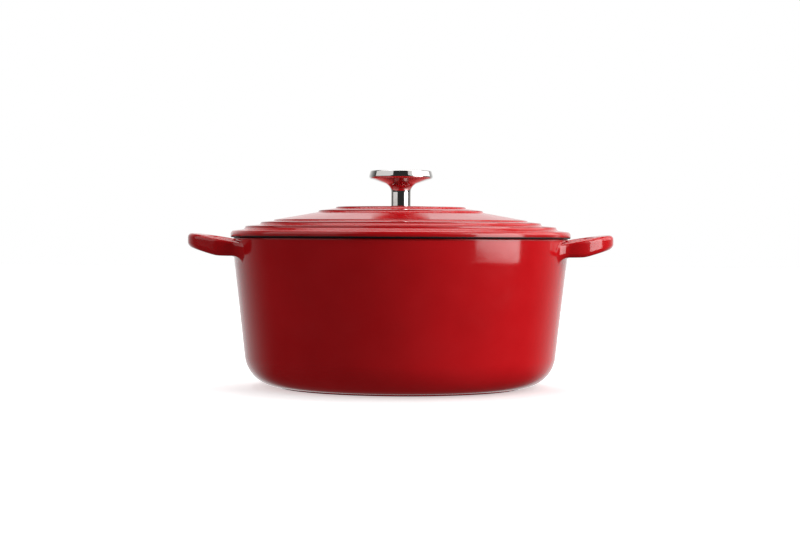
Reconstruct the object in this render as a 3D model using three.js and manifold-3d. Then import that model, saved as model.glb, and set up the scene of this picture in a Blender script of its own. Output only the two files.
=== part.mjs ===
// Enamelled cast iron dutch oven: a round pot with two cast loop handles, a stepped lid that
// lifts off, and a flared steel knob held to the lid by a screw from below.
// Millimetres, +Z up. The origin is on the ground at the pot's axis, and the handles lie along X.

import * as THREE from 'three';
import { mergeVertices } from 'three/addons/utils/BufferGeometryUtils.js';
import Module from 'manifold-3d';

const wasm = await Module();
wasm.setup();

const { degToRad } = THREE.MathUtils;

// Fits
const SEAT_GAP = 0.3; // between pieces that rest on each other
const LID_RING_CLEARANCE = 1.8; // pot wall to the lid's locating ring, all round
const LID_OVERHANG = 1.8; // lid edge past the pot's rim
const SCREW_CLEARANCE = 0.4; // round the screw, in every piece it passes through

// Pot casting
const RIM_RADIUS = 133.2; // outside, at the rim
const POT_HEIGHT = 118.2; // ground to rim
const POT_WALL = 3.8;
const POT_FLOOR = 4.8;
const SIDE_DRAFT = degToRad(6.4); // lean of the side wall from vertical
const RIM_BAND_HEIGHT = 18.9; // steeper band below the rim
const RIM_BAND_DRAFT = degToRad(3.7);
const RIM_BAND_BLEND = 60;
const RIM_ROUND = 1.2;
const HEEL_RADIUS = 26; // round between the side and the underside
const FOOT_HEIGHT = 1.2; // foot ring below the underside
const FOOT_WIDTH = 8;
const FOOT_INSET = 0.7; // foot ring in from the start of the heel

// Loop handles
const HANDLE_REACH = 34.2; // tip past the rim
const HANDLE_SPAN = 100; // outside width across both arms
const HANDLE_BAR = 13; // width of arms and bar, seen from above
const HANDLE_CORNER = 32; // outside corner radius
const HANDLE_OUTER_FILLET = 9; // arms to pot, outside the loop
const HANDLE_INNER_FILLET = 7; // arms to pot, inside the loop
const HANDLE_EDGE = 3.5; // rounding along all edges
const HANDLE_BURIED = 16; // arms run on inside the rim, before the cavity is cut
const HANDLE_ROOT_TOP = 1.7; // top face below the rim, where it leaves the pot
const HANDLE_TIP_TOP = 4.2; // top face above the rim, at the tip
const HANDLE_ROOT_BOTTOM = 14.4; // underside below the rim, at the root
const HANDLE_TIP_BOTTOM = 7.1; // underside below the rim, at the tip
const HANDLE_FLAT = 9.4; // level stretch of the underside, out from the rim

// Lid casting
const LID_RISE = 24.9; // seat to crown
const LID_WALL = 3.7;
const LID_EDGE_HEIGHT = 4.8; // seat to the top of the outer edge
const LID_EDGE_ROUND = 2.2;
const LID_RING_DEPTH = 6.5; // locating ring below the seat
const LID_RING_WIDTH = 4;
const CROWN_FLAT_RADIUS = 30; // level middle of the crown, which carries the knob

// The lid's top steps down in rings. Each ring has the place where its riser starts, the riser's
// width and drop, and the drop of the tread above it. Outer rings are placed from the lid's edge.
const OUTER_RINGS = [
  { inset: 34.3, width: 2.6, drop: 1.1 },
  { inset: 23.8, width: 3, drop: 2.15 },
  { inset: 11.6, width: 3.4, drop: 2.8 },
];
const OUTER_TREAD_SLOPE = 0.11;
const INNER_RINGS = [
  { radius: 51.5, width: 2.4, drop: 1.4 },
  { radius: 65.2, width: 2.6, drop: 1.6 },
];
const INNER_TREAD_DROP = 1.5;
const CROWN_DROP = 0.5; // crown to the first riser
const RING_ROUND = 1.1;

// Knob
const STEM_RADIUS = 7.8;
const KNOB_HEIGHT = 29.4; // above its seat on the lid
const KNOB_RADIUS = 25.8;
const KNOB_RIM_HEIGHT = 5.9; // edge of the head, from the cone to the top face
const KNOB_CROWN = 1.2; // rise of the top face
const KNOB_CONE = degToRad(18); // slope of the head's underside
const KNOB_NECK_ROUND = 7.3;
const KNOB_EDGE_ROUND_LOW = 2;
const KNOB_EDGE_ROUND_TOP = 3;
const KNOB_SHELL = 1.8;
const CAP_INSET = 3.4; // cap's edge in from the knob's edge
const CAP_THICKNESS = 1.4;
const CAP_LEDGE = 1.6; // width of the ledge that carries the cap
const INSERT_RADIUS = 5.3;
const INSERT_START = 2.4; // above the knob's seat
const INSERT_FLANGE_RADIUS = 7;
const INSERT_FLANGE_THICKNESS = 1.6;
const GASKET_INSET = 1.1; // gasket recess in from the stem's side
const GASKET_THICKNESS = 0.9;

// Screw and washers under the lid
const SCREW_RADIUS = 3; // M6
const SCREW_HEAD_RADIUS = 5.8;
const SCREW_HEAD_HEIGHT = 3.4;
const SCREW_REACH = 14; // into the knob
const SCREW_SLOT_WIDTH = 1.5;
const SCREW_SLOT_DEPTH = 1.6;
const WASHER_RADIUS = 8.5;
const WASHER_THICKNESS = 1.2;
const SPRING_WASHER_RADIUS = 5.6;
const SPRING_WASHER_THICKNESS = 1.6;
const SPRING_WASHER_SPLIT = degToRad(16);

// Facets
const LARGE_TURN = 52;
const KNOB_TURN = 36;
const SMALL_TURN = 24;
const ARC_STEP = degToRad(30);
const HANDLE_ARC_POINTS = 3;
const POINT_SPACING = 0.01;

// Heights and radii that follow
const seatHeight = POT_HEIGHT + SEAT_GAP;
const lidRadius = RIM_RADIUS + LID_OVERHANG;
const crownHeight = seatHeight + LID_RISE;
const bossUnderside = crownHeight - LID_WALL;
const knobSeat = crownHeight + SEAT_GAP;
const borePassage = SCREW_RADIUS + SCREW_CLEARANCE;

const redEnamel = new THREE.MeshStandardMaterial({ color: 0x9c1418, roughness: 0.12 });
const polishedSteel = new THREE.MeshStandardMaterial({
  color: 0xc9c7c4,
  roughness: 0.1,
  metalness: 1,
});
const platedSteel = new THREE.MeshStandardMaterial({
  color: 0xa9aaa8,
  roughness: 0.35,
  metalness: 1,
});
const gasketRubber = new THREE.MeshStandardMaterial({ color: 0x2a2a2a, roughness: 0.8 });

// The points of a fillet that rounds off one corner of an outline.
function filletPoints(before, corner, after, fillet) {
  const back = before.clone().sub(corner);
  const ahead = after.clone().sub(corner);
  const room = Math.min(back.length(), ahead.length());
  back.normalize();
  ahead.normalize();
  const halfAngle = Math.acos(THREE.MathUtils.clamp(back.dot(ahead), -1, 1)) / 2;
  const tangent = Math.min(fillet / Math.tan(halfAngle), room);
  const bisector = back.clone().add(ahead).normalize();
  const centre = corner.clone().addScaledVector(bisector, tangent / Math.cos(halfAngle));
  const start = corner.clone().addScaledVector(back, tangent);
  const turn = Math.PI - 2 * halfAngle;
  const direction = -Math.sign(back.cross(ahead));
  const steps = Math.max(1, Math.ceil(turn / ARC_STEP));
  const points = [];
  for (let step = 0; step <= steps; step += 1) {
    points.push(start.clone().rotateAround(centre, (direction * turn * step) / steps));
  }
  return points;
}

// An outline from corners [radius, height, fillet]. A looped outline closes on itself.
function outline(corners, looped) {
  const points = [];
  const count = corners.length;
  corners.forEach(([radius, height, fillet], index) => {
    const corner = new THREE.Vector2(radius, height);
    if (!fillet) {
      points.push(corner);
      return;
    }
    const before = new THREE.Vector2(...corners[(index + count - 1) % count]);
    const after = new THREE.Vector2(...corners[(index + 1) % count]);
    points.push(...filletPoints(before, corner, after, fillet));
  });
  if (looped) points.push(points[0].clone());
  return points;
}

function turned(corners, segments, looped = false) {
  const geometry = new THREE.LatheGeometry(outline(corners, looped), segments);
  return geometry.rotateX(Math.PI / 2);
}

// A closed mesh as a solid for joining and cutting. Faces that shrink to a line on the axis go.
function solidFrom(geometry) {
  const bare = geometry.clone();
  bare.deleteAttribute('normal');
  bare.deleteAttribute('uv');
  const merged = mergeVertices(bare, 1e-4);
  const index = merged.index.array;
  const triangles = [];
  for (let start = 0; start < index.length; start += 3) {
    const [a, b, c] = index.slice(start, start + 3);
    if (a !== b && b !== c && c !== a) triangles.push(a, b, c);
  }
  return new wasm.Manifold(
    new wasm.Mesh({
      numProp: 3,
      vertProperties: new Float32Array(merged.attributes.position.array),
      triVerts: new Uint32Array(triangles),
    }),
  );
}

function geometryFrom(solid) {
  const { vertProperties, triVerts } = solid.getMesh();
  const geometry = new THREE.BufferGeometry();
  geometry.setAttribute('position', new THREE.BufferAttribute(vertProperties, 3));
  geometry.setIndex(new THREE.BufferAttribute(triVerts, 1));
  geometry.computeVertexNormals();
  return geometry;
}

function piece(name, geometry, material) {
  const mesh = new THREE.Mesh(geometry, material);
  mesh.name = name;
  return mesh;
}

// Outside radius of the pot at a height on its rim band or on its side.
function potRadius(height) {
  const below = POT_HEIGHT - height;
  const band = Math.min(below, RIM_BAND_HEIGHT);
  const side = Math.max(below - RIM_BAND_HEIGHT, 0);
  return RIM_RADIUS - band * Math.tan(RIM_BAND_DRAFT) - side * Math.tan(SIDE_DRAFT);
}

function potBodyOutline() {
  const bandStart = POT_HEIGHT - RIM_BAND_HEIGHT;
  const underside = potRadius(FOOT_HEIGHT);
  const heelStart = underside - HEEL_RADIUS * Math.tan((Math.PI / 2 - SIDE_DRAFT) / 2);
  const footOutside = heelStart - FOOT_INSET;
  return [
    [0, FOOT_HEIGHT],
    [footOutside - FOOT_WIDTH, FOOT_HEIGHT],
    [footOutside - FOOT_WIDTH, 0],
    [footOutside, 0],
    [footOutside, FOOT_HEIGHT],
    [underside, FOOT_HEIGHT, HEEL_RADIUS],
    [potRadius(bandStart), bandStart, RIM_BAND_BLEND],
    [RIM_RADIUS, POT_HEIGHT, RIM_ROUND],
    [0, POT_HEIGHT],
  ];
}

function potCavityOutline() {
  const bandStart = POT_HEIGHT - RIM_BAND_HEIGHT;
  const floor = FOOT_HEIGHT + POT_FLOOR;
  const mouth = RIM_RADIUS - POT_WALL;
  return [
    [0, floor],
    [potRadius(floor) - POT_WALL, floor, HEEL_RADIUS - POT_WALL],
    [potRadius(bandStart) - POT_WALL, bandStart, RIM_BAND_BLEND],
    [mouth, POT_HEIGHT - RIM_ROUND],
    [mouth + RIM_ROUND / 3, POT_HEIGHT - RIM_ROUND / 3],
    [mouth + RIM_ROUND, POT_HEIGHT],
    [mouth + RIM_ROUND, POT_HEIGHT + RIM_ROUND],
    [0, POT_HEIGHT + RIM_ROUND],
  ];
}

// Centre of a fillet between an arm's straight edge and the pot's round side.
function rootFilletCentre(edge, fillet) {
  return new THREE.Vector2(Math.sqrt((RIM_RADIUS + fillet) ** 2 - edge ** 2), edge);
}

function distinctPoints(points) {
  return points.filter((point, index) => {
    const previous = points[(index + points.length - 1) % points.length];
    return point.distanceTo(previous) > POINT_SPACING;
  });
}

// One loop seen from above: a U whose two ends run into the pot's wall.
function handleShape() {
  const outerEdge = HANDLE_SPAN / 2;
  const innerEdge = outerEdge - HANDLE_BAR;
  const outerRoot = rootFilletCentre(outerEdge + HANDLE_OUTER_FILLET, HANDLE_OUTER_FILLET);
  const innerRoot = rootFilletCentre(innerEdge - HANDLE_INNER_FILLET, HANDLE_INNER_FILLET);
  const tip = RIM_RADIUS + HANDLE_REACH;
  const corner = Math.min(HANDLE_CORNER, tip - Math.max(outerRoot.x, innerRoot.x));
  const cornerX = tip - corner;
  const cornerY = outerEdge - corner;
  const innerCorner = corner - HANDLE_BAR;
  const buried = RIM_RADIUS - HANDLE_BURIED;
  const outerAngle = outerRoot.angle();
  const innerAngle = innerRoot.angle();
  const quarter = Math.PI / 2;

  const path = new THREE.Path();
  path.moveTo(buried * Math.cos(innerAngle), -buried * Math.sin(innerAngle));
  path.lineTo(buried * Math.cos(outerAngle), -buried * Math.sin(outerAngle));
  const outerStart = Math.PI - outerAngle;
  path.absarc(outerRoot.x, -outerRoot.y, HANDLE_OUTER_FILLET, outerStart, quarter, true);
  path.absarc(cornerX, -cornerY, corner, -quarter, 0, false);
  path.absarc(cornerX, cornerY, corner, 0, quarter, false);
  path.absarc(outerRoot.x, outerRoot.y, HANDLE_OUTER_FILLET, -quarter, -outerStart, true);
  path.lineTo(buried * Math.cos(outerAngle), buried * Math.sin(outerAngle));
  path.lineTo(buried * Math.cos(innerAngle), buried * Math.sin(innerAngle));
  const innerStart = Math.PI + innerAngle;
  path.absarc(innerRoot.x, innerRoot.y, HANDLE_INNER_FILLET, innerStart, quarter, true);
  path.absarc(cornerX, cornerY, innerCorner, quarter, 0, true);
  path.absarc(cornerX, -cornerY, innerCorner, 0, -quarter, true);
  path.absarc(innerRoot.x, -innerRoot.y, HANDLE_INNER_FILLET, -quarter, -innerStart, true);
  return new THREE.Shape(distinctPoints(path.getPoints(HANDLE_ARC_POINTS)));
}

// Heights of a handle's top face and underside at a distance out from the axis.
function handleTop(x) {
  const out = (x - RIM_RADIUS) / HANDLE_REACH;
  return POT_HEIGHT + THREE.MathUtils.lerp(-HANDLE_ROOT_TOP, HANDLE_TIP_TOP, out);
}

function handleBottom(x) {
  const out = (x - RIM_RADIUS - HANDLE_FLAT) / (HANDLE_REACH - HANDLE_FLAT);
  const rise = Math.max(out, 0);
  return POT_HEIGHT - THREE.MathUtils.lerp(HANDLE_ROOT_BOTTOM, HANDLE_TIP_BOTTOM, rise);
}

// The loop is extruded one unit deep with round edges, then its two faces go to their heights.
function handleGeometry() {
  const geometry = new THREE.ExtrudeGeometry(handleShape(), {
    depth: 1,
    bevelThickness: HANDLE_EDGE,
    bevelSize: HANDLE_EDGE,
    bevelOffset: -HANDLE_EDGE,
    bevelSegments: 2,
  });
  const position = geometry.attributes.position;
  for (let index = 0; index < position.count; index += 1) {
    const x = position.getX(index);
    const depth = position.getZ(index);
    const below = handleBottom(x) + HANDLE_EDGE + depth;
    const above = handleTop(x) - HANDLE_EDGE + depth - 1;
    position.setZ(index, depth < 0.5 ? below : above);
  }
  return geometry;
}

function pot() {
  const handle = solidFrom(handleGeometry());
  const opposite = solidFrom(handleGeometry().rotateZ(Math.PI));
  const cavity = solidFrom(turned(potCavityOutline(), LARGE_TURN));
  const casting = solidFrom(turned(potBodyOutline(), LARGE_TURN))
    .add(handle)
    .add(opposite)
    .subtract(cavity);
  return piece('pot', geometryFrom(casting), redEnamel);
}

// Corners of the lid's stepped top, from the crown out to the last tread, with no roundings.
function lidSteps() {
  const corners = [[CROWN_FLAT_RADIUS, crownHeight]];
  let height = crownHeight - CROWN_DROP;
  INNER_RINGS.forEach(({ radius, width, drop }) => {
    corners.push([radius, height], [radius + width, height - drop]);
    height -= drop + INNER_TREAD_DROP;
  });

  const outer = [];
  const edge = seatHeight + LID_EDGE_HEIGHT;
  let previous = lidRadius - LID_EDGE_ROUND;
  let foot = edge;
  [...OUTER_RINGS].reverse().forEach(({ inset, width, drop }) => {
    const start = lidRadius - inset;
    const low = foot + (previous - start - width) * OUTER_TREAD_SLOPE;
    outer.unshift([start, low + drop], [start + width, low]);
    previous = start;
    foot = low + drop;
  });
  return corners.concat(outer);
}

function lid() {
  const steps = lidSteps();
  const edgeTop = seatHeight + LID_EDGE_HEIGHT;
  const ringOutside = RIM_RADIUS - POT_WALL - LID_RING_CLEARANCE;
  const ringInside = ringOutside - LID_RING_WIDTH;
  const ringFoot = seatHeight - LID_RING_DEPTH;
  const under = steps.filter(([radius]) => radius < ringInside - LID_WALL);
  const lastUnder = under[under.length - 1];
  const corners = [
    [borePassage, crownHeight],
    ...steps.map(([radius, height], index) => [radius, height, index % 2 ? RING_ROUND : 0]),
    [lidRadius - LID_EDGE_ROUND, edgeTop, RING_ROUND],
    [lidRadius, edgeTop - LID_EDGE_ROUND, LID_EDGE_ROUND / 2],
    [lidRadius, seatHeight + RIM_ROUND],
    [lidRadius - RIM_ROUND, seatHeight],
    [ringOutside, seatHeight],
    [ringOutside, ringFoot + RIM_ROUND],
    [ringOutside - RIM_ROUND, ringFoot],
    [ringInside + RIM_ROUND, ringFoot],
    [ringInside, ringFoot + RIM_ROUND],
    [ringInside, lastUnder[1] - LID_WALL - OUTER_TREAD_SLOPE * (ringInside - lastUnder[0]), LID_WALL],
    ...under.map(([radius, height]) => [radius, height - LID_WALL]).reverse(),
    [borePassage, bossUnderside],
  ];
  return piece('lid', turned(corners.reverse(), LARGE_TURN, true), redEnamel);
}

// Height of the head's conical underside above the knob's seat, at a radius.
function coneHeight(radius) {
  const edge = KNOB_HEIGHT - KNOB_CROWN - KNOB_RIM_HEIGHT;
  return edge - (KNOB_RADIUS - radius) * Math.tan(KNOB_CONE);
}

function knobPieces() {
  const knobTop = knobSeat + KNOB_HEIGHT;
  const edgeTop = knobTop - KNOB_CROWN;
  const capRadius = KNOB_RADIUS - CAP_INSET;
  const recess = capRadius + SEAT_GAP;
  const ledgeInside = recess - CAP_LEDGE;
  const capUnderside = edgeTop - CAP_THICKNESS;
  const ledge = capUnderside - SEAT_GAP;
  const bore = INSERT_RADIUS + SEAT_GAP;
  const hollow = KNOB_SHELL / Math.cos(KNOB_CONE);
  const gasketRecess = STEM_RADIUS - GASKET_INSET;
  const gasketRadius = gasketRecess - SEAT_GAP;
  const gasketTop = knobSeat + GASKET_THICKNESS;

  const body = [
    [gasketRecess, knobSeat],
    [STEM_RADIUS, knobSeat],
    [STEM_RADIUS, knobSeat + coneHeight(STEM_RADIUS), KNOB_NECK_ROUND],
    [KNOB_RADIUS, knobSeat + coneHeight(KNOB_RADIUS), KNOB_EDGE_ROUND_LOW],
    [KNOB_RADIUS, edgeTop, KNOB_EDGE_ROUND_TOP],
    [recess, edgeTop],
    [recess, ledge],
    [ledgeInside, ledge],
    [ledgeInside, knobSeat + coneHeight(ledgeInside) + hollow],
    [bore, knobSeat + coneHeight(bore) + hollow],
    [bore, gasketTop + SEAT_GAP],
    [gasketRecess, gasketTop + SEAT_GAP],
  ];

  const crownRise = KNOB_CROWN * 0.75;
  const cap = [
    [0, capUnderside],
    [capRadius, capUnderside],
    [capRadius, edgeTop],
    [capRadius / 2, edgeTop + crownRise],
    [0, knobTop],
  ];

  const flangeStart = knobSeat + coneHeight(INSERT_FLANGE_RADIUS) + hollow + SEAT_GAP;
  const insert = [
    [borePassage, knobSeat + INSERT_START],
    [INSERT_RADIUS, knobSeat + INSERT_START],
    [INSERT_RADIUS, flangeStart],
    [INSERT_FLANGE_RADIUS, flangeStart],
    [INSERT_FLANGE_RADIUS, flangeStart + INSERT_FLANGE_THICKNESS],
    [borePassage, flangeStart + INSERT_FLANGE_THICKNESS],
  ];

  const gasket = [
    [borePassage, crownHeight + SEAT_GAP],
    [gasketRadius, crownHeight + SEAT_GAP],
    [gasketRadius, gasketTop],
    [borePassage, gasketTop],
  ];

  return [
    piece('knob_body', turned(body, KNOB_TURN, true), polishedSteel),
    piece('knob_cap', turned(cap, KNOB_TURN), polishedSteel),
    piece('knob_insert', turned(insert, SMALL_TURN, true), platedSteel),
    piece('knob_gasket', turned(gasket, SMALL_TURN, true), gasketRubber),
  ];
}

function springWasher(top) {
  const from = SPRING_WASHER_SPLIT / 2;
  const to = 2 * Math.PI - from;
  const shape = new THREE.Shape();
  shape.absarc(0, 0, SPRING_WASHER_RADIUS, from, to, false);
  shape.absarc(0, 0, borePassage, to, from, true);
  const geometry = new THREE.ExtrudeGeometry(shape, {
    depth: SPRING_WASHER_THICKNESS,
    curveSegments: SMALL_TURN / 2,
    bevelEnabled: false,
  });
  geometry.translate(0, 0, top - SPRING_WASHER_THICKNESS);
  return piece('spring_washer', geometry, platedSteel);
}

// Slotted pan-head screw: its head hangs below the washers and its shank reaches into the knob.
function knobScrew(headTop) {
  const headFoot = headTop - SCREW_HEAD_HEIGHT;
  const tip = knobSeat + SCREW_REACH;
  const corners = [
    [0, headFoot],
    [SCREW_HEAD_RADIUS, headFoot, SCREW_HEAD_HEIGHT / 2],
    [SCREW_HEAD_RADIUS, headTop],
    [SCREW_RADIUS, headTop],
    [SCREW_RADIUS, tip - SCREW_RADIUS / 3],
    [SCREW_RADIUS * (2 / 3), tip],
    [0, tip],
  ];
  const slot = new THREE.BoxGeometry(3 * SCREW_HEAD_RADIUS, SCREW_SLOT_WIDTH, 2 * SCREW_SLOT_DEPTH);
  slot.translate(0, 0, headFoot);
  const screw = solidFrom(turned(corners, SMALL_TURN)).subtract(solidFrom(slot));
  return piece('knob_screw', geometryFrom(screw), platedSteel);
}

function fasteners() {
  const washerTop = bossUnderside - SEAT_GAP;
  const washerFoot = washerTop - WASHER_THICKNESS;
  const springTop = washerFoot - SEAT_GAP;
  const headTop = springTop - SPRING_WASHER_THICKNESS - SEAT_GAP;
  const washer = [
    [borePassage, washerFoot],
    [WASHER_RADIUS, washerFoot],
    [WASHER_RADIUS, washerTop],
    [borePassage, washerTop],
  ];
  return [
    piece('screw_washer', turned(washer, SMALL_TURN, true), platedSteel),
    springWasher(springTop),
    knobScrew(headTop),
  ];
}

const dutchOven = new THREE.Group();
dutchOven.add(pot(), lid(), ...knobPieces(), ...fasteners());

export default dutchOven;
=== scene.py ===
import math

import bmesh
import bpy
import numpy as np
from mathutils import Matrix, Vector


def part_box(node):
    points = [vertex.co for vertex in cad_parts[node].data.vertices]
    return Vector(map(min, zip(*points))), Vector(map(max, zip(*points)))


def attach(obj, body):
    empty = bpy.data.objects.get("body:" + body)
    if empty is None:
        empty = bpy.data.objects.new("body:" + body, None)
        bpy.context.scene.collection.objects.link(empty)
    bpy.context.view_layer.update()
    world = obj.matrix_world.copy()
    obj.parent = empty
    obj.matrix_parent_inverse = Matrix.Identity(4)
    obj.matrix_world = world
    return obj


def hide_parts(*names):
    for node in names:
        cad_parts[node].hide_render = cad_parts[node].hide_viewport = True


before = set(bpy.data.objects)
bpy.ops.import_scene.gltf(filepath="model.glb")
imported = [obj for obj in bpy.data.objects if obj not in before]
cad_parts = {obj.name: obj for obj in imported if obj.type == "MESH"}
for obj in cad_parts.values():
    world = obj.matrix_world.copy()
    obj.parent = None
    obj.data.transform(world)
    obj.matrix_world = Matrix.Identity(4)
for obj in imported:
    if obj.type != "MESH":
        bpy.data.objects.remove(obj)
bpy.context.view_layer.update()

# Enamelled cast iron dutch oven. Lengths are in millimetres until a mesh is made.
MM = 0.001
POT_HIGH = np.array(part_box("pot")[1]) / MM
LID_HIGH = np.array(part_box("lid")[1]) / MM
KNOB_LOW, KNOB_HIGH = (np.array(corner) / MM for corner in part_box("knob_body"))
CAP_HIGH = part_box("knob_cap")[1][2] / MM

# Pot
RIM_RADIUS = POT_HIGH[1]
RIM_HEIGHT = 118.2
WALL = 3.8
FLOOR_THICKNESS = 4.8
SIDE_DRAFT = math.radians(6.4)
RIM_BAND_HEIGHT = 18.9
RIM_BAND_DRAFT = math.radians(3.7)
RIM_BAND_BLEND = 60
RIM_ROUND_OUTSIDE = 1.2
RIM_ROUND_INSIDE = 1.4
HEEL_RADIUS = 26
FOOT_HEIGHT = 1.2
FOOT_WIDTH = 8
FOOT_INSET = 0.7
FOOT_ROUND = 0.5

# Loop handles
HANDLE_TIP = POT_HIGH[0]
HANDLE_SPAN = 100
HANDLE_BAR = 13
HANDLE_CORNER = 32
HANDLE_EDGE = 3.6
HANDLE_FLARE = 8  # fillets into the wall: at the sides, above and below
FILLET_ABOVE = 1.8
FILLET_BELOW = 6
HANDLE_ROOT_TOP = 1.7
HANDLE_TIP_TOP = POT_HIGH[2] - RIM_HEIGHT
HANDLE_ROOT_BOTTOM = 14.4
HANDLE_TIP_BOTTOM = 7.1
HANDLE_FLAT = 9.4
HANDLE_CROWN = 0.35

# Lid
LID_RADIUS = LID_HIGH[1]
CROWN_HEIGHT = LID_HIGH[2]
SMALL_GAP = 0.05
SEAT_HEIGHT = RIM_HEIGHT + SMALL_GAP
LID_WALL = 3.7
LID_EDGE_HEIGHT = 5.55
LID_EDGE_ROUND = 2.2
LID_RING_DEPTH = 6.25
LID_RING_WIDTH = 4
LID_RING_CLEARANCE = 1.8
LID_RING_ROUND = 1.4
LID_RING_ROOT_ROUND = 3.2
LID_SEAT_ROUND = 0.8
CROWN_FLAT_RADIUS = 30
CROWN_DROP = 0.5
OUTER_RINGS = [(34.3, 2.6, 1.1), (23.8, 3, 2.15), (11.6, 3.4, 2.8)]  # inset, width, drop
INNER_RINGS = [(51.5, 2.4, 1.4), (65.2, 2.6, 1.6)]  # radius, width, drop
OUTER_TREAD_SLOPE = 0.11
INNER_TREAD_DROP = 1.5
RISER_STEEPNESS = math.radians(75)
RISER_TOP_ROUND = 0.45
RISER_HOLLOW = 0.9  # radius, as a share of the drop
SCREW_PASSAGE = 3.4

# Knob
KNOB_SEAT = KNOB_LOW[2]
KNOB_RADIUS = KNOB_HIGH[0]
STEM_RADIUS = 7.8
KNOB_CROWN = 1.2
KNOB_RIM_HEIGHT = 5.9
KNOB_CONE = math.radians(18)
KNOB_NECK_ROUND = 7.3
KNOB_EDGE_ROUND_LOW = 2
KNOB_EDGE_ROUND_TOP = 1.2
KNOB_EDGE_LEAN = 1.6
KNOB_RECESS_ROUND = 0.12
KNOB_SHELL = 1.8
KNOB_SHELL_HEIGHT = KNOB_SHELL / math.cos(KNOB_CONE)
KNOB_EDGE_TOP = CAP_HIGH - KNOB_CROWN
STEM_FOOT_ROUND = 0.35
SEAM = 0.12
CAP_INSET = 3.4
CAP_LEDGE = 1.6
CAP_THICKNESS = 1.4
CAP_ROUND = 0.15
CAP_CROWN_ROUND = 400
CAP_FOOT = KNOB_EDGE_TOP - CAP_THICKNESS
GASKET_INSET = 1.1
GASKET_THICKNESS = 0.9
GASKET_RECESS = STEM_RADIUS - GASKET_INSET
GASKET_TOP = KNOB_SEAT + GASKET_THICKNESS
INSERT_RADIUS = 5.3
INSERT_START = 2.4
INSERT_FOOT_ROUND = 0.4
INSERT_FLANGE_RADIUS = 7
INSERT_FLANGE_THICKNESS = 1.6
INSERT_FLANGE_ROUND = 0.3

# Washers and screw, from the lid's underside down
WASHER_TOP = CROWN_HEIGHT - LID_WALL - SEAM
WASHER_RADIUS = 8.5
WASHER_THICKNESS = 1.2
WASHER_ROUND = 0.2
WASHER_FOOT_ROUND = 0.35
SPRING_WASHER_TOP = WASHER_TOP - WASHER_THICKNESS - SEAM
SPRING_WASHER_RADIUS = 5.6
SPRING_WASHER_THICKNESS = 1.6
SPRING_WASHER_LIFT = 0.3
SPRING_WASHER_SPLIT = math.radians(16)
SPRING_WASHER_SKEW = math.radians(5)
SPRING_WASHER_SQUARENESS = 0.8
SCREW_HEAD_TOP = SPRING_WASHER_TOP - SPRING_WASHER_THICKNESS - SEAM
SCREW_RADIUS = 3
SCREW_HEAD_RADIUS = 5.8
SCREW_HEAD_HEIGHT = 3.4
SCREW_HEAD_CROWN = 0.55  # round, as a share of the head's height
SCREW_HEAD_ROUND = 0.3
SCREW_REACH = 14
SCREW_CHAMFER = 0.8
SCREW_TIP_ROUND = 0.1
SCREW_SLOT_WIDTH = 1.5
SCREW_SLOT_DEPTH = 1.6
THREAD_PITCH = 1
THREAD_DEPTH = 0.55

# Meshes
TINY = 1e-6
TURN = 216
SMALL_TURN = 96
ARC_STEP = math.radians(6)
LONGEST_STEP = 4
POT_STEP = 2.6
KNOB_STEP = 1.5
GASKET_STEP = 1
WASHER_STEP = 0.8
THREAD_STEP = THREAD_PITCH / 8
SUPPORT_STEP = 0.5
LEAST_ROUND = 0.25
FINE_EDGE = 1.5
RIM_BAND_SOFTNESS = 0.8
HANDLE_BEND_SOFTNESS = 3
HANDLE_START = 116
ARM_STATIONS = 14
BEND_STATIONS = 30
BAR_STATIONS = 24
HANDLE_SIDES = 44
HANDLE_SKETCH = 0.98  # size of the loops' first points, before they settle on the surface
TRIM_RADIUS = RIM_RADIUS - WALL / 2
TRIM_HEIGHTS = (80, 150)
TRIM_STEP = 20
OUTSIDE_SKIN = 1  # how far inside the wall's face a point still counts as outside
HANDLE_ZONE = 88  # height above which the wall is joined with the handles
JOINT_STEPS = [(HANDLE_FLARE + 3, 1.6), (HANDLE_FLARE + 1, 1), (2.5, 0.5)]  # reach, longest edge
SLOPE_STEP = 0.01
SETTLE_ROUNDS = 4
ROW_BATCH = 4096
CROWN_BLEND = 60
SPRING_WASHER_SIDES = 24
SPRING_WASHER_STATIONS = 72
THREAD_TOLERANCE = 0.02
THREAD_CREASE = math.radians(50)
SCREW_CREASE = math.radians(40)
SPRING_WASHER_CREASE = math.radians(35)

# Where the black enamel begins: in from the rim, up the foot, and up the lid's edge
RIM_LINE = 0.6
FOOT_LINE = 0.3
LID_LINE = 1.25
LINE_SOFTNESS = 0.12

# Colours, linear
RED_DEEP = (0.44, 0.005, 0.0075, 1)
RED_BRIGHT = (0.48, 0.0065, 0.0095, 1)
RED_FLECK = (0.22, 0.003, 0.004, 1)
RED_THIN = (0.16, 0.0035, 0.004, 1)
BLACK_DEEP = (0.006, 0.006, 0.0065, 1)
BLACK_GREY = (0.016, 0.0155, 0.015, 1)
FLECK_SHARE = 0.12
THIN_SHARE = (0.35, 0.7)
STEEL_WARM = (0.66, 0.63, 0.6, 1)
STEEL_COOL = (0.67, 0.66, 0.65, 1)
SATIN_DARK = (0.42, 0.415, 0.4, 1)
SATIN_LIGHT = (0.56, 0.555, 0.54, 1)
RUBBER_DEEP = (0.012, 0.012, 0.013, 1)
RUBBER_GREY = (0.03, 0.03, 0.031, 1)
FLOOR_PALE = (0.9, 0.9, 0.9, 1)
FLOOR_BRIGHT = (0.93, 0.93, 0.93, 1)
WHITE = (1, 1, 1, 1)

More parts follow.
